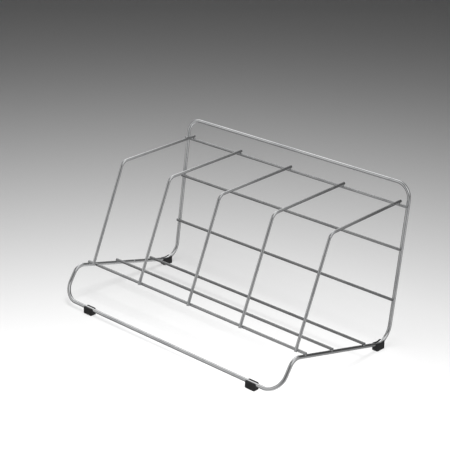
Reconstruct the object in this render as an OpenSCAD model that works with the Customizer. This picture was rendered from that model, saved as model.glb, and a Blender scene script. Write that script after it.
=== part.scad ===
// Desktop file sorter: one bent loop of heavy wire, lighter cross bars welded onto it,
// five inverted-L divider wires and four snap-on rubber feet.
// Millimetres, +Z up, front towards -Y. The origin is on the desk, under the middle of the
// whole sorter's box.

/* [Overall] */
// Width over the outsides of the two side rails
overall_w = 406; // [300:1:600]
// Height of the wire's centre above the desk where it passes through a foot
foot_wire_z = 8; // [7:0.5:12]
// Distance along the level from the front rail back to the rear corner
base_run = 223; // [190:1:260]
// Length of the base along its slope, from the rear corner to the front knee
base_len = 202; // [190:1:210]
// Slope of the base, falling towards the rear
base_slope = 13.2; // [8:0.1:16]
// Length of the back along its lean, from the rear corner to the top rail
back_len = 219; // [212:1:260]
// Lean of the back away from upright
back_lean = 6.9; // [2:0.1:15]

/* [Wire] */
// Diameter of the loop's wire
loop_d = 5; // [4:0.1:6]
// Diameter of the cross bars and dividers
bar_d = 4; // [3:0.1:4.5]
// How far two welded wires sink into each other
weld_sink = 0.5; // [0.2:0.1:0.8]
// Length of a cross bar past the centre of the wire it is welded to
bar_end = 1.6; // [0:0.1:2.4]

/* [Loop bends] */
// Centre-line radius of the two front corners
front_corner_r = 25; // [15:1:26]
// Centre-line radius of the two knees where the loop turns back over the base
knee_r = 16; // [8:1:20]
// Centre-line radius of the two rear bends
rear_r = 23; // [15:1:30]
// Centre-line radius of the two top corners
top_corner_r = 21; // [15:1:26]

/* [Cross bars] */
// Distances of the base bars from the rear corner, along the base
base_bar_at = [55, 125, 180];
// Distances of the back bars from the rear corner, along the back
back_bar_at = [62, 132, 190.5];

/* [Dividers] */
// Number of dividers
divider_n = 5; // [5:1:5]
// Spacing of the dividers
divider_pitch = 94; // [60:0.5:95]
// Length of a divider's upright, from its foot to its bend's corner
divider_len = 152; // [130:1:165]
// Backward lean of a divider's upright
divider_lean = 22; // [10:0.5:30]
// Centre-line radius of a divider's bend
divider_r = 12; // [8:1:20]
// Length of a divider below the bar that its foot is welded to
divider_tail = 2; // [0:0.5:4]
// Length of a divider's top past the bar that it is welded to
divider_tip = 5; // [2:0.5:8]

/* [Feet] */
// Length of a foot along the wire
foot_len = 17; // [12:1:24]
// Width of a foot across the wire
foot_w = 9.5; // [8:0.5:14]
// Height of a foot's side walls above the desk
foot_h = 10.4; // [9:0.1:12]
// Width of the snap-in mouth over the wire
foot_mouth = 4; // [3:0.1:4.8]
// Chamfer along a foot's outer edges
foot_chamfer = 1; // [0.4:0.1:2]
// Places of the left and right front feet along the front rail, which are pushed on by hand
front_foot_x = [-146, 157];

/* [Hidden] */

$fn = 48;
chrome = [0.78, 0.79, 0.80];
rubber = [0.06, 0.06, 0.065];

// Bent stretches are this much thinner in radius than the straights that run into them, and
// each straight runs this much into its bend, so that the two surfaces never coincide.
bend_step = 0.01;
bend_lap = 0.05;

rail_x = (overall_w - loop_d) / 2;

// Directions in the side view: forwards along the base, square to the base, up the back,
// forwards off the back, and up a divider.
base_dir = [0, -cos(base_slope), sin(base_slope)];
base_up = [0, sin(base_slope), cos(base_slope)];
back_dir = [0, sin(back_lean), cos(back_lean)];
back_out = [0, -cos(back_lean), sin(back_lean)];
divider_dir = [0, sin(divider_lean), cos(divider_lean)];

// The rear bend's lowest point is at foot_wire_z, which sets the rear corner's height.
rear_turn = 90 - back_lean + base_slope;
rear_setback = rear_r * tan(rear_turn / 2);
rear_z = foot_wire_z - rear_setback * sin(base_slope) + rear_r * (1 - cos(base_slope));

// The box runs from the front feet to the top rail, and the origin is midway.
back_reach = back_len * sin(back_lean) + loop_d / 2;
front_reach = base_run + foot_w / 2;
rear_y = (front_reach - back_reach) / 2;

rear_corner = [0, rear_y, rear_z];
front_rail = [0, rear_y - base_run, foot_wire_z];
knee = rear_corner + base_len * base_dir;
top_rail = rear_corner + back_len * back_dir;
rear_foot = [0, rear_y - rear_setback * cos(base_slope) + rear_r * sin(base_slope), foot_wire_z];

bar_offset = (loop_d + bar_d) / 2 - weld_sink;
wire_offset = bar_d - weld_sink;
base_bars = [for (a = base_bar_at) rear_corner + a * base_dir + bar_offset * base_up];
back_bars = [for (a = back_bar_at) rear_corner + a * back_dir + bar_offset * back_out];

// A divider stands against the front of the front base bar, and its top lies on the upper
// back bar: the top's slope is that of a tangent from the bend's corner to a circle there.
divider_foot = base_bars[2] + wire_offset * base_dir;
divider_corner = divider_foot + divider_len * divider_dir;
to_bar = back_bars[2] - divider_corner;
top_slope = atan2(to_bar.z, to_bar.y) + asin(wire_offset / norm(to_bar));
top_len = sqrt(to_bar * to_bar - wire_offset * wire_offset);
top_dir = [0, cos(top_slope), sin(top_slope)];

function at_x(x, p) = [x, p.y, p.z];
function unit(v) = v / norm(v);
function square_to(u) = unit(cross(u, abs(u.x) < 0.9 ? [1, 0, 0] : [0, 1, 0]));
function turn(a, b, c) = acos(unit(b - a) * unit(c - b));
function setback(a, b, c, r) = r * tan(turn(a, b, c) / 2);

// Places its children with their X and Y axes along x_dir and y_dir.
module placed(p, x_dir, y_dir) {
    z_dir = cross(x_dir, y_dir);
    multmatrix([[x_dir.x, y_dir.x, z_dir.x, p.x],
                [x_dir.y, y_dir.y, z_dir.y, p.y],
                [x_dir.z, y_dir.z, z_dir.z, p.z]])
        children();
}

// A straight round wire from a to b.
module straight(a, b, d) {
    u = unit(b - a);
    side = square_to(u);
    placed(a, side, cross(u, side)) cylinder(d = d, h = norm(b - a));
}

// The bend of radius r that rounds the corner b of the path a, b, c.
module bend(a, b, c, r, d) {
    u = unit(b - a);
    v = unit(c - b);
    inward = unit(v - u * (u * v));
    placed(b - u * setback(a, b, c, r) + inward * r, -inward, u)
        rotate_extrude(angle = turn(a, b, c)) translate([r, 0]) circle(d = d - 2 * bend_step);
}

// A wire along a path of corners, where radii[i] rounds the corner path[i + 1].
module bent_wire(path, radii, d) {
    last = len(path) - 1;
    cut = [for (i = [0:last])
        i == 0 || i == last ? 0
            : setback(path[i - 1], path[i], path[i + 1], radii[i - 1]) - bend_lap];
    for (i = [0:last - 1]) {
        u = unit(path[i + 1] - path[i]);
        straight(path[i] + u * cut[i], path[i + 1] - u * cut[i + 1], d);
    }
    for (i = [1:last - 1])
        bend(path[i - 1], path[i], path[i + 1], radii[i - 1], d);
}

// Half of the loop, from the middle of the front rail round to the middle of the top rail.
module half_loop() {
    bent_wire([front_rail, at_x(rail_x, front_rail), at_x(rail_x, knee),
               at_x(rail_x, rear_corner), at_x(rail_x, top_rail), top_rail],
              [front_corner_r, knee_r, rear_r, top_corner_r], loop_d);
}

module frame_loop() {
    color(chrome) {
        half_loop();
        mirror([1, 0, 0]) half_loop();
    }
}

// A cross bar at p, with saddles where it is welded to wires that run from rear_corner along dir.
module cross_bar(p, dir, run) {
    half = rail_x + bar_end;
    color(chrome) difference() {
        straight([-half, p.y, p.z], [half, p.y, p.z], bar_d);
        for (s = [-1, 1])
            straight(at_x(s * rail_x, rear_corner), at_x(s * rail_x, rear_corner + run * dir), loop_d);
    }
}

module base_bar(i) {
    cross_bar(base_bars[i], base_dir, base_len);
}

module back_bar(i) {
    cross_bar(back_bars[i], back_dir, back_len);
}

// Divider i, counted from the left, with a saddle at each of its two welds.
module divider(i) {
    x = (i - (divider_n + 1) / 2) * divider_pitch;
    color(chrome) difference() {
        bent_wire([at_x(x, divider_foot - divider_tail * divider_dir), at_x(x, divider_corner),
                   at_x(x, divider_corner + (top_len + divider_tip) * top_dir)],
                  [divider_r], bar_d);
        for (p = [base_bars[2], back_bars[2]])
            straight(at_x(x - 2 * bar_d, p), at_x(x + 2 * bar_d, p), bar_d);
    }
}

// A foot's section, square to the wire: a flat-bottomed block with a mouth above the wire.
module foot_section() {
    w = foot_w / 2;
    c = foot_chamfer;
    difference() {
        polygon([[-w + c, 0], [w - c, 0], [w, c], [w, foot_h - c], [w - c, foot_h],
                 [-w + c, foot_h], [-w, foot_h - c], [-w, c]]);
        translate([-foot_mouth / 2, foot_wire_z]) square([foot_mouth, foot_h]);
    }
}

// A foot centred on x along the straight front rail.
module front_foot(x) {
    color(rubber) difference() {
        placed([x - foot_len / 2, front_rail.y, 0], [0, 1, 0], [0, 0, 1])
            linear_extrude(foot_len) foot_section();
        straight(at_x(x - foot_len, front_rail), at_x(x + foot_len, front_rail), loop_d);
    }
}

// A foot round the lowest part of a rear bend, on the side given by s.
module rear_foot(s) {
    color(rubber) difference() {
        placed([s * rail_x, rear_foot.y + foot_len / 2, 0], [1, 0, 0], [0, 0, 1])
            linear_extrude(foot_len) foot_section();
        bent_wire([at_x(s * rail_x, knee), at_x(s * rail_x, rear_corner), at_x(s * rail_x, top_rail)],
                  [rear_r], loop_d);
    }
}

frame_loop();
base_bar(0);  // base_bar_rear
base_bar(1);  // base_bar_middle
base_bar(2);  // base_bar_front
back_bar(0);  // back_bar_lower
back_bar(1);  // back_bar_middle
back_bar(2);  // back_bar_upper
divider(1);  // divider_1
divider(2);  // divider_2
divider(3);  // divider_3
divider(4);  // divider_4
divider(5);  // divider_5
front_foot(front_foot_x[0]);  // foot_front_left
front_foot(front_foot_x[1]);  // foot_front_right
rear_foot(-1);  // foot_rear_left
rear_foot(1);  // foot_rear_right
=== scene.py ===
"""A desktop file sorter of chromed wire: smooth wires, weld beads, rubber feet and a plain stage.

Laid out as an add-on. Run as a script, it builds every piece around the loaded frame, in metres.
"""
import math

import bmesh
import bpy
from mathutils import Matrix, Vector, noise
from mathutils.geometry import intersect_line_line


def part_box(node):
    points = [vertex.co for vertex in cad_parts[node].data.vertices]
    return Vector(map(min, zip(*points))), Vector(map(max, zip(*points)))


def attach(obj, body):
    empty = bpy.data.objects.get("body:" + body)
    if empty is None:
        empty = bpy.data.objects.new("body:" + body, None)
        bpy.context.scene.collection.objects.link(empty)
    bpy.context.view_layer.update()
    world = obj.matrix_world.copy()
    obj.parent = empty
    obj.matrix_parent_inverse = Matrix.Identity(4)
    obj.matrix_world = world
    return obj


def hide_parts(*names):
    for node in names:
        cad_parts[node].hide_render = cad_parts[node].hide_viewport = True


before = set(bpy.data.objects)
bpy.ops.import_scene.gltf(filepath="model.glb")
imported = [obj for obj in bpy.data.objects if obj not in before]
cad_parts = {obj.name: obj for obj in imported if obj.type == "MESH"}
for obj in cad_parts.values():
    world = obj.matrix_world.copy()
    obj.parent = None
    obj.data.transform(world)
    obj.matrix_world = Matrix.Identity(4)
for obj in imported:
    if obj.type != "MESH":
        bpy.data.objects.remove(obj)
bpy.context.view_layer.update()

bl_info = {
    "name": "Wire file sorter",
    "version": (1, 0, 0),
    "blender": (4, 5, 0),
    "location": "3D View > Sidebar > Sorter",
    "description": "Builds the finished wires, welds and feet of a desktop file sorter",
    "category": "Object",
}

MM = 0.001
FLOOR_REACH = 12
FLOOR_GAP = 0.2 * MM
GROOVE_STEPS = 20
MADE_HERE = set()

# The soft cards that the plating mirrors: the direction of each, the angles of its bright core and
# of its faded edge in degrees, and its strength.
CARDS = (
    ((0.65, -0.10, 0.75), 12, 38, 0.9),
    ((0.05, -0.90, -0.45), 20, 55, 0.3),
    ((0.80, 0.35, -0.50), 15, 60, 0.5),
    ((-0.62, 0.50, 0.58), 12, 40, 1.1),
    ((-0.66, -0.66, 0.30), 12, 42, 0.5),
    ((0.56, 0.66, 0.52), 6, 25, 0.35),
    ((0.00, 0.00, -1.00), 12, 45, 0.8),
    ((-0.20, 0.20, 0.95), 12, 40, 0.5),
)
BASE_BARS = ("base_bar_rear", "base_bar_middle", "base_bar_front")
BACK_BARS = ("back_bar_lower", "back_bar_middle", "back_bar_upper")
DIVIDERS = tuple(sorted(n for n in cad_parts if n.startswith("divider_")))
FEET = tuple(sorted(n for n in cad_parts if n.startswith("foot_")))


# ---------------------------------------------------------------- properties

class SorterWires(bpy.types.PropertyGroup):
    loop_thickness: bpy.props.FloatProperty(
        name="Loop wire", description="Diameter of the heavy wire of the loop",
        default=5.0 * MM, min=0.001, unit="LENGTH", precision=4)
    weld_sink: bpy.props.FloatProperty(
        name="Weld sink", description="How far two welded wires sink into each other",
        default=0.5 * MM, min=0, unit="LENGTH", precision=4)
    base_length: bpy.props.FloatProperty(
        name="Base length", description="Length of the sloping base, from rear corner to knee",
        default=202 * MM, min=0.1, unit="LENGTH")
    front_corner: bpy.props.FloatProperty(
        name="Front corner", description="Centre-line radius of the two front corners",
        default=25 * MM, min=0.005, unit="LENGTH")
    knee: bpy.props.FloatProperty(
        name="Knee", description="Centre-line radius of the bends where the loop turns over the base",
        default=16 * MM, min=0.005, unit="LENGTH")
    rear_bend: bpy.props.FloatProperty(
        name="Rear bend", description="Centre-line radius of the two rear bends",
        default=23 * MM, min=0.005, unit="LENGTH")
    top_corner: bpy.props.FloatProperty(
        name="Top corner", description="Centre-line radius of the two top corners",
        default=21 * MM, min=0.005, unit="LENGTH")
    divider_length: bpy.props.FloatProperty(
        name="Divider upright", description="Length of a divider from its foot to its bend's corner",
        default=152 * MM, min=0.05, unit="LENGTH")
    divider_lean: bpy.props.FloatProperty(
        name="Divider lean", description="Backward lean of a divider's upright",
        default=math.radians(22), unit="ROTATION")
    divider_bend: bpy.props.FloatProperty(
        name="Divider bend", description="Centre-line radius of a divider's bend",
        default=12 * MM, min=0.004, unit="LENGTH")
    sides: bpy.props.IntProperty(
        name="Sides", description="Faces round a wire", default=40, min=12)
    bend_step: bpy.props.FloatProperty(
        name="Bend step", description="Angle of a bend that one ring of faces spans",
        default=math.radians(4), min=0.01, unit="ROTATION")
    cut_edge: bpy.props.FloatProperty(
        name="Cut edge", description="Rounding of a wire's cut ends, as a share of its radius",
        default=0.28, min=0.05, max=0.9, subtype="FACTOR")


class SorterFeet(bpy.types.PropertyGroup):
    grip: bpy.props.FloatProperty(
        name="Grip", description="Radius of the groove that grips the wire",
        default=2.45 * MM, min=0.001, unit="LENGTH", precision=5)
    mouth: bpy.props.FloatProperty(
        name="Mouth", description="Width of the snap-in mouth where it opens over the wire",
        default=3.9 * MM, min=0.001, unit="LENGTH", precision=4)
    flare: bpy.props.FloatProperty(
        name="Flare", description="How far each lip of the mouth leans outwards at its top",
        default=0.35 * MM, min=0, unit="LENGTH", precision=5)
    draft: bpy.props.FloatProperty(
        name="Draft", description="How far each wall leans inwards from its foot to its top",
        default=0.3 * MM, min=0, unit="LENGTH", precision=5)
    round_end: bpy.props.FloatProperty(
        name="Round ends", description="Rounding of a foot's two ends",
        default=1.9 * MM, min=0, unit="LENGTH", precision=4)
    sole_edge: bpy.props.FloatProperty(
        name="Sole edge", description="Rounding along the two long edges of the sole",
        default=1.1 * MM, min=0, unit="LENGTH", precision=4)
    top_edge: bpy.props.FloatProperty(
        name="Top edge", description="Rounding along the tops of the two walls",
        default=1.2 * MM, min=0, unit="LENGTH", precision=4)
    skin: bpy.props.FloatProperty(
        name="Skin", description="Depth of rubber over which a rounded end meets the groove",
        default=1.0 * MM, min=0.0001, unit="LENGTH", precision=4)
    rows: bpy.props.IntProperty(
        name="Rows", description="Rows of faces along a foot", default=28, min=8)


class SorterWelds(bpy.types.PropertyGroup):
    spread: bpy.props.FloatProperty(
        name="Spread", description="How far a weld's squeezed-out metal reaches along each wire",
        default=2.3 * MM, min=0.001, unit="LENGTH", precision=4)
    thickness: bpy.props.FloatProperty(
        name="Thickness", description="Thickness of the squeezed-out metal between two wires",
        default=1.5 * MM, min=0.0005, unit="LENGTH", precision=4)
    ripple: bpy.props.FloatProperty(
        name="Ripple", description="Unevenness of a weld's outline, as a share of its spread",
        default=0.12, min=0, max=0.4, subtype="FACTOR")
    upset: bpy.props.FloatProperty(
        name="Upset", description="How far the butt weld that closes the loop stands proud",
        default=0.35 * MM, min=0, unit="LENGTH", precision=5)


class SorterFinish(bpy.types.PropertyGroup):
    chrome: bpy.props.FloatVectorProperty(
        name="Chrome", description="Colour of the bright plating", subtype="COLOR",
        default=(0.62, 0.625, 0.63), min=0, max=1)
    chrome_cloud: bpy.props.FloatVectorProperty(
        name="Chrome haze", description="Colour of the plating where it is hazy", subtype="COLOR",
        default=(0.52, 0.525, 0.535), min=0, max=1)
    rubber: bpy.props.FloatVectorProperty(
        name="Rubber", description="Colour of the feet", subtype="COLOR",
        default=(0.006, 0.006, 0.0065), min=0, max=1)
    rubber_dust: bpy.props.FloatVectorProperty(
        name="Rubber bloom", description="Colour of the pale bloom on the feet", subtype="COLOR",
        default=(0.02, 0.02, 0.021), min=0, max=1)


class SorterStage(bpy.types.PropertyGroup):
    camera_place: bpy.props.FloatVectorProperty(
        name="Camera place", description="Where the camera stands", subtype="TRANSLATION",
        default=(1.1379, -1.2520, 0.8018), precision=4)
    heading: bpy.props.FloatProperty(
        name="Heading", description="Turn of the camera round the sorter, from straight ahead",
        default=math.radians(42.498), unit="ROTATION")
    tilt: bpy.props.FloatProperty(
        name="Tilt", description="How far the camera looks down",
        default=math.radians(21.334), unit="ROTATION")
    roll: bpy.props.FloatProperty(
        name="Roll", description="Turn of the camera about its own line of sight",
        default=math.radians(1.657), unit="ROTATION")
    focal_length: bpy.props.FloatProperty(
        name="Focal length", description="Focal length in millimetres on a 36 mm sensor",
        default=107.92, min=10)
    floor: bpy.props.FloatVectorProperty(
        name="Floor", description="Colour of the floor", subtype="COLOR",
        default=(0.8, 0.8, 0.8), min=0, max=1)
    fill_power: bpy.props.FloatProperty(
        name="Fill", description="Power of the broad light in front of the sorter, in watts",
        default=35.1, min=0)
    key_power: bpy.props.FloatProperty(
        name="Key", description="Power of the light over the sorter that casts its shadow, in watts",
        default=4.6, min=0)
    room: bpy.props.FloatProperty(
        name="Room", description="Brightness of the room for everything but reflections",
        default=0.033, min=0)
    room_mirrored: bpy.props.FloatProperty(
        name="Mirrored room", description="Brightness of the room between the cards, in reflections",
        default=0.2, min=0)


# ---------------------------------------------------------------- the wires' centre lines

def middle(node):
    """The middle of a CAD node's box."""
    low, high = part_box(node)
    return (low + high) / 2


def thickness(bar):
    """A cross bar runs along X, so its box is as high as its wire is thick."""
    low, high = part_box(bar)
    return high.z - low.z


def at_x(x, point):
    """The point, moved across to x."""
    return Vector((x, point.y, point.z))


class Wirework:
    """The centre lines of the wires, worked out from the frame's boxes and the wire sizes."""

    def __init__(self, sizes):
        low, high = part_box("frame_loop")
        loop_radius = sizes.loop_thickness / 2
        self.bar = thickness(BASE_BARS[0])
        self.rail_x = high.x - loop_radius
        self.front = Vector((0, low.y + loop_radius, low.z + loop_radius))
        on_loop = loop_radius + self.bar / 2 - sizes.weld_sink
        self.on_bar = self.bar - sizes.weld_sink

        self.base_dir = (middle(BASE_BARS[2]) - middle(BASE_BARS[0])).normalized()
        self.base_up = Vector((0, self.base_dir.z, -self.base_dir.y))
        self.back_dir = (middle(BACK_BARS[2]) - middle(BACK_BARS[0])).normalized()
        self.back_out = Vector((0, -self.back_dir.z, self.back_dir.y))
        on_base = middle(BASE_BARS[0]) - on_loop * self.base_up
        on_back = middle(BACK_BARS[0]) - on_loop * self.back_out
        self.rear = at_x(0, intersect_line_line(
            on_base, on_base + self.base_dir, on_back, on_back + self.back_dir)[0])
        self.knee = self.rear + sizes.base_length * self.base_dir
        climb = (high.z - loop_radius - self.rear.z) / self.back_dir.z
        self.top = self.rear + climb * self.back_dir

        lean = sizes.divider_lean
        self.divider_dir = Vector((0, math.sin(lean), math.cos(lean)))
        self.divider_foot = at_x(0, middle(BASE_BARS[2])) + self.on_bar * self.base_dir
        self.divider_corner = self.divider_foot + sizes.divider_length * self.divider_dir
        to_bar = at_x(0, middle(BACK_BARS[2])) - self.divider_corner
        slope = math.atan2(to_bar.z, to_bar.y) + math.asin(self.on_bar / to_bar.length)
        self.top_dir = Vector((0, math.cos(slope), math.sin(slope)))
        self.divider_top = self.divider_corner + self.top_dir * math.sqrt(
            to_bar.length_squared - self.on_bar ** 2)

    def half_loop(self):
        """The corners from the middle of the front rail round to the middle of the top rail."""
        x = self.rail_x
        return [self.front, at_x(x, self.front), at_x(x, self.knee),
                at_x(x, self.rear), at_x(x, self.top), self.top]

    def divider(self, node):
        """A divider's corners. Its two ends reach the ends of its box."""
        low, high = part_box(node)
        x = middle(node).x
        radius = self.bar / 2
        tail = (self.divider_foot.z - low.z - radius * abs(self.divider_dir.y)) / self.divider_dir.z
        tip = (high.y - self.divider_top.y - radius * abs(self.top_dir.z)) / self.top_dir.y
        return [at_x(x, self.divider_foot - tail * self.divider_dir),
                at_x(x, self.divider_corner),
                at_x(x, self.divider_top + tip * self.top_dir)]


# ---------------------------------------------------------------- mesh helpers

def ring_of(made):
    """The newest ring of a sweep: its vertices, and the edges that join only those."""
    verts = [g for g in made if isinstance(g, bmesh.types.BMVert)]
    known = set(verts)
    edges = [g for g in made if isinstance(g, bmesh.types.BMEdge) and known.issuperset(g.verts)]
    return verts, edges


class Sweep:
    """Pushes a round section along straights and bends, and keeps each ring's way along the wire
    in the grain attribute, with its place round the wire, so that the finish can follow the wire."""

    def __init__(self, start, direction, radius, sides):
        self.bm = bmesh.new()
        self.grain = self.bm.verts.layers.float_vector.new("grain")
        self.here = start.copy()
        self.direction = direction.normalized()
        self.run = 0.0
        turn = self.direction.to_track_quat("Z", "Y").to_matrix().to_4x4()
        self.verts = bmesh.ops.create_circle(
            self.bm, cap_ends=False, radius=radius, segments=sides,
            matrix=Matrix.Translation(start) @ turn)["verts"]
        self.edges = list(self.bm.edges)
        for v in self.verts:
            local = turn.inverted() @ (v.co - start)
            v[self.grain] = (local.x, local.y, 0)

    def _mark(self, step):
        self.run += step
        for v in self.verts:
            v[self.grain].z = self.run

    def straight_to(self, end):
        step = (end - self.here).length
        made = bmesh.ops.extrude_edge_only(self.bm, edges=self.edges)["geom"]
        self.verts, self.edges = ring_of(made)
        bmesh.ops.translate(self.bm, verts=self.verts, vec=end - self.here)
        self.here = end.copy()
        self._mark(step)

    def bend(self, out, radius, step):
        """Bends from the present direction to out."""
        angle = self.direction.angle(out)
        axis = self.direction.cross(out).normalized()
        centre = self.here + axis.cross(self.direction) * radius
        steps = max(3, round(angle / step))
        for _ in range(steps):
            made = bmesh.ops.spin(
                self.bm, geom=self.verts + self.edges, cent=centre, axis=axis,
                angle=angle / steps, steps=1, use_merge=False, use_duplicate=False)["geom_last"]
            self.verts, self.edges = ring_of(made)
            self._mark(radius * angle / steps)
        self.here = centre + Matrix.Rotation(angle, 3, axis) @ (self.here - centre)
        self.direction = out.normalized()


def swept(path, radii, radius, sizes):
    """A wire along a path of corners, with radii[i] rounding the corner path[i + 1]."""
    sweep = Sweep(path[0], path[1] - path[0], radius, sizes.sides)
    for i, bend_radius in enumerate(radii):
        corner = path[i + 1]
        out = (path[i + 2] - corner).normalized()
        setback = bend_radius * math.tan(sweep.direction.angle(out) / 2)
        sweep.straight_to(corner - sweep.direction * setback)
        sweep.bend(out, bend_radius, sizes.bend_step)
    sweep.straight_to(path[-1])
    return sweep.bm


def close_ends(bm, rounding):
    """Caps a wire's two open ends and rounds their rims."""
    rims = [e for e in bm.edges if e.is_boundary]
    caps = bmesh.ops.holes_fill(bm, edges=rims, sides=0)["faces"]
    for face in caps:
        face.smooth = False
    bmesh.ops.bevel(bm, geom=rims, offset=rounding, offset_type="OFFSET", segments=4,
                    profile=0.5, affect="EDGES", material=-1)


def finished(bm, name, material, slot, *nodes):
    """Makes the object of a piece, which rides on the one body and stands for its CAD nodes."""
    bmesh.ops.remove_doubles(bm, verts=bm.verts, dist=0.001 * MM)
    bmesh.ops.recalc_face_normals(bm, faces=bm.faces)
    for face in bm.faces:
        face.smooth = len(face.verts) <= 4
    mesh = bpy.data.meshes.new(name)
    bm.to_mesh(mesh)
    bm.free()
    mesh.materials.append(material)
    piece = bpy.data.objects.new(name, mesh)
    bpy.context.scene.collection.objects.link(piece)
    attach(piece, "root")
    if nodes:
        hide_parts(*nodes)
    return piece


# ---------------------------------------------------------------- materials

class Shader:
    """A short way to write a node tree: each call adds a node and feeds it values or links."""

    def __init__(self, owner, surface):
        owner.use_nodes = True
        self.tree = owner.node_tree
        self.surface = self.tree.nodes[surface]

    def add(self, kind, settings=None, **inputs):
        node = self.tree.nodes.new("ShaderNode" + kind)
        for key, value in (settings or {}).items():
            setattr(node, key, value)
        for key, value in inputs.items():
            self.feed(node, key.replace("_", " "), value)
        return node

    def feed(self, node, socket, value):
        if isinstance(value, bpy.types.NodeSocket):
            self.tree.links.new(value, node.inputs[socket])
        else:
            node.inputs[socket].default_value = value

    def scaled(self, vector, scale):
        return self.add("Mapping", {"vector_type": "POINT"}, Vector=vector,
                        Scale=scale).outputs["Vector"]

    def noise(self, vector, scale, detail=3.0, roughness=0.5):
        return self.add("TexNoise", Vector=vector, Scale=scale, Detail=detail,
                        Roughness=roughness).outputs["Fac"]

    def ramp(self, value, low, high, to_low, to_high):
        return self.add("MapRange", {"interpolation_type": "SMOOTHSTEP"}, Value=value,
                        From_Min=low, From_Max=high, To_Min=to_low, To_Max=to_high).outputs["Result"]

    def blend(self, share, first, second):
        node = self.add("Mix", {"data_type": "RGBA"})
        self.feed(node, 0, share)
        for socket, value in ((6, first), (7, second)):
            self.feed(node, socket, value if isinstance(value, bpy.types.NodeSocket)
                      else (*value, 1))
        return node.outputs[2]

    def math(self, operation, first, second):
        node = self.add("Math", {"operation": operation})
        self.feed(node, 0, first)
        self.feed(node, 1, second)
        return node.outputs[0]

    def bump(self, height, strength, distance, normal=None):
        node = self.add("Bump", Height=height, Strength=strength, Distance=distance)
        if normal is not None:
            self.feed(node, "Normal", normal)
        return node.outputs["Normal"]


def chrome(name, finish, haze=1.0, painted_shade=0.0):
    """Bright plating over drawn wire: fine die lines along the wire, a soft haze and a few pits.
    Its last argument is a painted shade: the share of its brightness that the plating's colour is
    darkened by near the rear corner of the sorter, and half as much far from there."""
    plate = bpy.data.materials.new(name)
    s = Shader(plate, "Principled BSDF")
    place = s.add("TexCoord").outputs["Object"]
    grain = s.add("Attribute", {"attribute_name": "grain"}).outputs["Vector"]
    die_lines = s.noise(s.scaled(grain, (1500, 1500, 9)), 1.0, 2.0)
    cloud = s.noise(place, 26.0, 4.0, 0.6)
    speck = s.noise(place, 900.0, 1.0)
    hazy = s.ramp(cloud, 0.42, 0.68, 0.0, 1.0)
    plating = s.blend(hazy, finish.chrome, finish.chrome_cloud)
    # Painted shade: the plating's colour is darkened towards black near the rear corner of the
    # sorter, half as much farther away.
    if painted_shade:
        corner = Wirework(bpy.context.scene.sorter_wires).rear
        away = s.add("VectorMath", {"operation": "DISTANCE"})
        s.feed(away, 0, s.scaled(place, (0, 1, 1)))
        s.feed(away, 1, corner)
        painted_shade_share = s.ramp(away.outputs["Value"], 0.08, 0.20, painted_shade, painted_shade / 2)
        plating = s.blend(painted_shade_share, plating, (0, 0, 0))
    s.feed(s.surface, "Base Color", plating)
    s.feed(s.surface, "Metallic", 1.0)
    rough = s.ramp(cloud, 0.35, 0.75, 0.09, 0.09 + 0.09 * haze)
    s.feed(s.surface, "Roughness", s.math("ADD", rough, s.ramp(die_lines, 0.3, 0.7, 0.0, 0.05)))
    lines = s.bump(die_lines, 0.10, 0.05 * MM)
    s.feed(s.surface, "Normal", s.bump(speck, 0.04, 0.05 * MM, lines))
    return plate


def rubber(name, finish):
    """Satin moulded rubber with a fine skin, and a pale bloom that gathers in patches."""
    black = bpy.data.materials.new(name)
    s = Shader(black, "Principled BSDF")
    place = s.add("TexCoord").outputs["Object"]
    patch = s.noise(place, 180.0, 4.0, 0.65)
    skin = s.noise(place, 2600.0, 2.0)
    s.feed(s.surface, "Base Color",
           s.blend(s.ramp(patch, 0.45, 0.8, 0.0, 0.7), finish.rubber, finish.rubber_dust))
    s.feed(s.surface, "Roughness", s.ramp(patch, 0.3, 0.7, 0.34, 0.52))
    s.feed(s.surface, "Specular IOR Level", 0.4)
    s.feed(s.surface, "Normal", s.bump(skin, 0.25, 0.08 * MM))
    return black


def material(name, make):
    """A material is made once, by the first operator that needs it. The frame's own materials
    have the names of its slots, which no finish here may take."""
    if name in MADE_HERE:
        return bpy.data.materials[name]
    MADE_HERE.add(name)
    return make(name)


# ---------------------------------------------------------------- operators

class SORTER_OT_loop(bpy.types.Operator):
    """Bend the heavy wire loop: front rail, knees, side rails, uprights and top rail"""
    bl_idname = "sorter.build_loop"
    bl_label = "Wire loop"

    def execute(self, context):
        sizes = context.scene.sorter_wires
        finish = context.scene.sorter_finish
        lines = Wirework(sizes)
        radii = (sizes.front_corner, sizes.knee, sizes.rear_bend, sizes.top_corner)
        bm = swept(lines.half_loop(), radii, sizes.loop_thickness / 2, sizes)
        bmesh.ops.mirror(bm, geom=bm.verts[:] + bm.edges[:] + bm.faces[:],
                         axis="X", merge_dist=0.001 * MM)
        plate = material("loop_chrome", lambda name: chrome(name, finish))
        finished(bm, "loop_wire", plate, "loop_wire", "frame_loop")
        return {"FINISHED"}


class SORTER_OT_bars(bpy.types.Operator):
    """Cut the cross bars of the base and the back to length"""
    bl_idname = "sorter.build_bars"
    bl_label = "Cross bars"

    def execute(self, context):
        sizes = context.scene.sorter_wires
        finish = context.scene.sorter_finish
        # The bars' plating carries painted shade: its colour is darker near the rear corner of the
        # sorter.
        plate = material("bar_chrome", lambda name: chrome(name, finish, 1.3, 0.6))
        for node in BASE_BARS + BACK_BARS:
            low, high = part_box(node)
            axis = middle(node)
            radius = thickness(node) / 2
            bm = swept([at_x(low.x, axis), at_x(high.x, axis)], (), radius, sizes)
            close_ends(bm, sizes.cut_edge * radius)
            finished(bm, node + "_wire", plate, "bar_wire", node)
        return {"FINISHED"}


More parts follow.
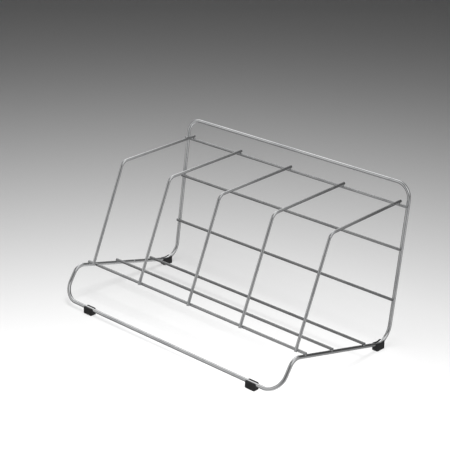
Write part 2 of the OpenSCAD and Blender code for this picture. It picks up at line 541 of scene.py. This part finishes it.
class SORTER_OT_dividers(bpy.types.Operator):
    """Bend the inverted-L divider wires"""
    bl_idname = "sorter.build_dividers"
    bl_label = "Dividers"

    def execute(self, context):
        sizes = context.scene.sorter_wires
        finish = context.scene.sorter_finish
        lines = Wirework(sizes)
        plate = material("divider_chrome", lambda name: chrome(name, finish, 1.3))
        radius = lines.bar / 2
        for node in DIVIDERS:
            bm = swept(lines.divider(node), (sizes.divider_bend,), radius, sizes)
            close_ends(bm, sizes.cut_edge * radius)
            finished(bm, node + "_wire", plate, "divider_wire", node)
        return {"FINISHED"}


# A foot is a stack of rows along Y. Each row is the foot's section, set square to its length.

def foot_section(feet, half, top, wire_height):
    """The first row of a foot: a flat face, with each vertex's place across and up in its
    section attribute."""
    bm = bmesh.new()
    section = bm.verts.layers.float_vector.new("section")
    lip = feet.mouth / 2
    reach = math.asin(lip / feet.grip)
    start = bm.verts.new((lip, 0, wire_height + feet.grip * math.cos(reach)))
    bmesh.ops.spin(bm, geom=[start], cent=(0, 0, wire_height), axis=(0, 1, 0),
                   angle=2 * (math.pi - reach), steps=GROOVE_STEPS)
    bm.verts.ensure_lookup_table()
    groove = list(bm.verts)
    outline = [bm.verts.new(place) for place in (
        (-lip - feet.flare, 0, top), (feet.draft - half, 0, top), (-half, 0, 0),
        (half, 0, 0), (half - feet.draft, 0, top), (lip + feet.flare, 0, top))]
    ring = [groove[-1], *outline, groove[0]]
    for one, other in zip(ring, ring[1:]):
        bm.edges.new((one, other))
    bmesh.ops.contextual_create(bm, geom=bm.edges[:])
    for corners, rounding in (((outline[2], outline[3]), feet.sole_edge),
                              ((outline[1], outline[4]), feet.top_edge),
                              ((outline[0], outline[5]), feet.flare)):
        bmesh.ops.bevel(bm, geom=list(corners), offset=rounding, offset_type="OFFSET",
                        segments=5, profile=0.5, affect="VERTICES", material=-1)
    for v in bm.verts:
        v[section] = (v.co.x, 0, v.co.z)
    return bm, section


def row_places(feet, length):
    """Each row's place along a foot, and how far the foot's skin is drawn in there."""
    fine = 8
    end = [feet.round_end * (1 - math.cos(math.pi / 2 * i / fine)) for i in range(fine + 1)]
    drawn_in = [feet.round_end - math.sqrt(max(0, t * (2 * feet.round_end - t))) for t in end]
    start = [(t - length / 2, inset) for t, inset in zip(end, drawn_in)]
    span = length - 2 * feet.round_end
    body = [(span * (i / feet.rows - 0.5), 0) for i in range(1, feet.rows)]
    return start + body + [(-y, inset) for y, inset in reversed(start)]


def moulded(feet, half, top, length, wire_height, climb):
    """A foot at the origin, along Y. Its groove climbs with the wire by climb(y)."""
    bm, section = foot_section(feet, half, top, wire_height)
    verts, edges = list(bm.verts), list(bm.edges)
    waist = wire_height - feet.grip
    for i, (y, inset) in enumerate(row_places(feet, length)):
        if i:
            verts, edges = ring_of(bmesh.ops.extrude_edge_only(bm, edges=edges)["geom"])
        rise = climb(y)
        for v in verts:
            across, _, up = v[section]
            off_groove = math.hypot(across, up - wire_height) - feet.grip
            share = min(1, max(0, off_groove / feet.skin))
            outer = min(1, max(0, (abs(across) - feet.grip) / feet.skin))
            v.co.x = across * (1 - share * outer * inset / half)
            v.co.y = y
            v.co.z = up + share * inset * (1 - 2 * up / top) + rise * min(1, up / waist)
    bmesh.ops.holes_fill(bm, edges=edges, sides=0)
    return bm


class SORTER_OT_feet(bpy.types.Operator):
    """Mould the rubber feet that snap onto the front rail and the rear bends"""
    bl_idname = "sorter.build_feet"
    bl_label = "Rubber feet"

    def execute(self, context):
        feet = context.scene.sorter_feet
        finish = context.scene.sorter_finish
        bend = context.scene.sorter_wires.rear_bend
        lines = Wirework(context.scene.sorter_wires)
        slope = math.asin(lines.base_dir.z)
        black = material("moulded_rubber", lambda name: rubber(name, finish))

        def climb(y):
            if y < -bend * math.sin(slope):
                return bend * (1 - 1 / math.cos(slope)) - y * math.tan(slope)
            return bend - math.sqrt(bend ** 2 - y ** 2)

        for node in FEET:
            low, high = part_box(node)
            size = high - low
            on_bend = size.y > size.x
            bm = moulded(feet, min(size.x, size.y) / 2, size.z, max(size.x, size.y),
                         lines.front.z - low.z, climb if on_bend else lambda y: 0)
            turn = Matrix.Identity(4) if on_bend else Matrix.Rotation(math.pi / 2, 4, "Z")
            place = Matrix.Translation(Vector((middle(node).x, middle(node).y, low.z)))
            bmesh.ops.transform(bm, matrix=place @ turn, verts=bm.verts)
            finished(bm, node + "_rubber", black, "foot_rubber", node)
        return {"FINISHED"}


class SORTER_OT_welds(bpy.types.Operator):
    """Squeeze a little weld metal out wherever two wires cross"""
    bl_idname = "sorter.build_welds"
    bl_label = "Welds"

    def execute(self, context):
        welds = context.scene.sorter_welds
        sizes = context.scene.sorter_wires
        finish = context.scene.sorter_finish
        lines = Wirework(sizes)
        plate = material("weld_chrome", lambda name: chrome(name, finish, 2.0))
        half = (lines.bar - sizes.weld_sink) / 2
        over_bar = Vector((0, lines.top_dir.z, -lines.top_dir.y))

        def on_rails(bars, out):
            return [(at_x(side * lines.rail_x, middle(bar) - half * out), out)
                    for bar in bars for side in (-1, 1)]

        def on_dividers(bar, offset):
            return [(at_x(middle(n).x, middle(bar) + half * offset), offset) for n in DIVIDERS]

        spots = {"base_bar_welds": on_rails(BASE_BARS, lines.base_up),
                 "back_bar_welds": on_rails(BACK_BARS, lines.back_out),
                 "divider_foot_welds": on_dividers(BASE_BARS[2], lines.base_dir),
                 "divider_top_welds": on_dividers(BACK_BARS[2], -over_bar)}
        for name, places in spots.items():
            bm = bmesh.new()
            for place, out in places:
                blob(bm, welds, place, out)
            finished(bm, name, plate, "bar_wire" if "bar" in name else "divider_wire")
        butt_weld(lines, welds, sizes, plate)
        return {"FINISHED"}


def blob(bm, welds, place, out):
    """Flat squeezed-out metal, square to the direction out in which one wire lies on the other."""
    made = bmesh.ops.create_icosphere(bm, subdivisions=4, radius=1)["verts"]
    for v in made:
        ripple = noise.noise(v.co * 2.2 + place * 900)
        v.co *= 1 + welds.ripple * ripple
    size = Matrix.Diagonal((welds.spread, welds.spread, welds.thickness / 2, 1))
    turn = out.to_track_quat("Z", "X").to_matrix().to_4x4()
    bmesh.ops.transform(bm, matrix=Matrix.Translation(place) @ turn @ size, verts=made)


def butt_weld(lines, welds, sizes, plate):
    """The low collar where the two ends of the loop's wire are joined, on the left side rail."""
    place = (middle(BASE_BARS[0]) + middle(BASE_BARS[1])) / 2
    place = lines.rear + (place - lines.rear).dot(lines.base_dir) * lines.base_dir
    bm = bmesh.new()
    made = bmesh.ops.create_uvsphere(bm, u_segments=48, v_segments=16, radius=1)["verts"]
    for v in made:
        v.co.xy *= 1 + welds.ripple / 4 * noise.noise(v.co * 3)
    around = sizes.loop_thickness / 2 + welds.upset
    size = Matrix.Diagonal((around, around, welds.spread, 1))
    turn = lines.base_dir.to_track_quat("Z", "X").to_matrix().to_4x4()
    bmesh.ops.transform(bm, matrix=Matrix.Translation(at_x(-lines.rail_x, place)) @ turn @ size,
                        verts=made)
    finished(bm, "loop_butt_weld", plate, "loop_wire")


class SORTER_OT_stage(bpy.types.Operator):
    """Set the floor, the lights and the camera"""
    bl_idname = "sorter.build_stage"
    bl_label = "Stage"

    def execute(self, context):
        scene = context.scene
        stage = scene.sorter_stage
        scene.view_settings.view_transform = "Standard"
        floor(stage)
        softbox("fill_box", (0.68, -0.74, 1.07), (1.2, 0.6), stage.fill_power, shadow=False)
        softbox("key_box", (0, 0, 1.25), (0.6, 0.6), stage.key_power, shadow=True)
        scene.world = studio(stage)
        scene.camera = camera(stage)
        return {"FINISHED"}


def floor(stage):
    """A matt floor just under the feet, which the plating doesn't mirror."""
    bm = bmesh.new()
    bmesh.ops.create_grid(bm, x_segments=1, y_segments=1, size=FLOOR_REACH)
    bmesh.ops.translate(bm, verts=bm.verts, vec=(0, 0, -FLOOR_GAP))
    mesh = bpy.data.meshes.new("floor")
    bm.to_mesh(mesh)
    bm.free()
    paper = bpy.data.materials.new("floor_paper")
    s = Shader(paper, "Principled BSDF")
    s.feed(s.surface, "Base Color", (*stage.floor, 1))
    s.feed(s.surface, "Roughness", 0.9)
    s.feed(s.surface, "Specular IOR Level", 0.1)
    mesh.materials.append(paper)
    piece = bpy.data.objects.new("floor", mesh)
    piece.visible_glossy = False
    bpy.context.scene.collection.objects.link(piece)


def softbox(name, place, size, power, shadow):
    """A soft light that hangs over the floor and faces straight down."""
    data = bpy.data.lights.new(name, "AREA")
    data.shape = "RECTANGLE"
    data.size, data.size_y = size
    data.energy = power
    lamp = bpy.data.objects.new(name, data)
    lamp.location = place
    data.use_shadow = shadow
    lamp.visible_glossy = False
    bpy.context.scene.collection.objects.link(lamp)


def studio(stage):
    """A dim room. Reflections see soft cards round it, and everything else sees one even grey."""
    world = bpy.data.worlds.new("studio")
    s = Shader(world, "Background")
    way = s.add("TexCoord").outputs["Generated"]
    seen = stage.room_mirrored
    for direction, core, edge, strength in CARDS:
        facing = s.add("VectorMath", {"operation": "DOT_PRODUCT"})
        s.feed(facing, 0, way)
        s.feed(facing, 1, Vector(direction).normalized())
        glow = s.ramp(facing.outputs["Value"], math.cos(math.radians(edge)),
                      math.cos(math.radians(core)), 0, strength)
        seen = s.math("ADD", seen, glow)
    rear = s.add("SeparateXYZ", Vector=way).outputs["Y"]
    seen = s.math("MULTIPLY", seen, s.ramp(rear, 0.55, 0.85, 1.0, 0.3))
    reflected = s.add("LightPath").outputs["Is Glossy Ray"]
    s.feed(s.surface, "Color", (1, 1, 1, 1))
    s.feed(s.surface, "Strength", s.ramp(reflected, 0, 1, stage.room, seen))
    return world


def camera(stage):
    """The camera in front of the sorter's right-hand corner, looking a little down."""
    data = bpy.data.cameras.new("camera")
    data.sensor_width = 36
    data.lens = stage.focal_length
    piece = bpy.data.objects.new("camera", data)
    bpy.context.scene.collection.objects.link(piece)
    turn = (Matrix.Rotation(stage.heading, 4, "Z")
            @ Matrix.Rotation(math.pi / 2 - stage.tilt, 4, "X")
            @ Matrix.Rotation(stage.roll, 4, "Z"))
    piece.matrix_world = Matrix.Translation(stage.camera_place) @ turn
    return piece


class SORTER_PT_sorter(bpy.types.Panel):
    bl_idname = "SORTER_PT_sorter"
    bl_label = "Wire file sorter"
    bl_space_type = "VIEW_3D"
    bl_region_type = "UI"
    bl_category = "Sorter"

    def draw(self, context):
        for operator in BUILD_ORDER:
            self.layout.operator(operator.bl_idname)


BUILD_ORDER = [SORTER_OT_loop, SORTER_OT_bars, SORTER_OT_dividers, SORTER_OT_welds,
               SORTER_OT_feet, SORTER_OT_stage]
GROUPS = {"sorter_wires": SorterWires, "sorter_feet": SorterFeet, "sorter_welds": SorterWelds,
          "sorter_finish": SorterFinish, "sorter_stage": SorterStage}


def register():
    for cls in [*GROUPS.values(), *BUILD_ORDER, SORTER_PT_sorter]:
        bpy.utils.register_class(cls)
    for name, group in GROUPS.items():
        setattr(bpy.types.Scene, name, bpy.props.PointerProperty(type=group))


def unregister():
    for name in GROUPS:
        delattr(bpy.types.Scene, name)
    for cls in reversed([*GROUPS.values(), *BUILD_ORDER, SORTER_PT_sorter]):
        bpy.utils.unregister_class(cls)


def main():
    register()
    bpy.ops.sorter.build_loop()
    bpy.ops.sorter.build_bars()
    bpy.ops.sorter.build_dividers()
    bpy.ops.sorter.build_welds()
    bpy.ops.sorter.build_feet()
    bpy.ops.sorter.build_stage()


if __name__ == "__main__":
    main()
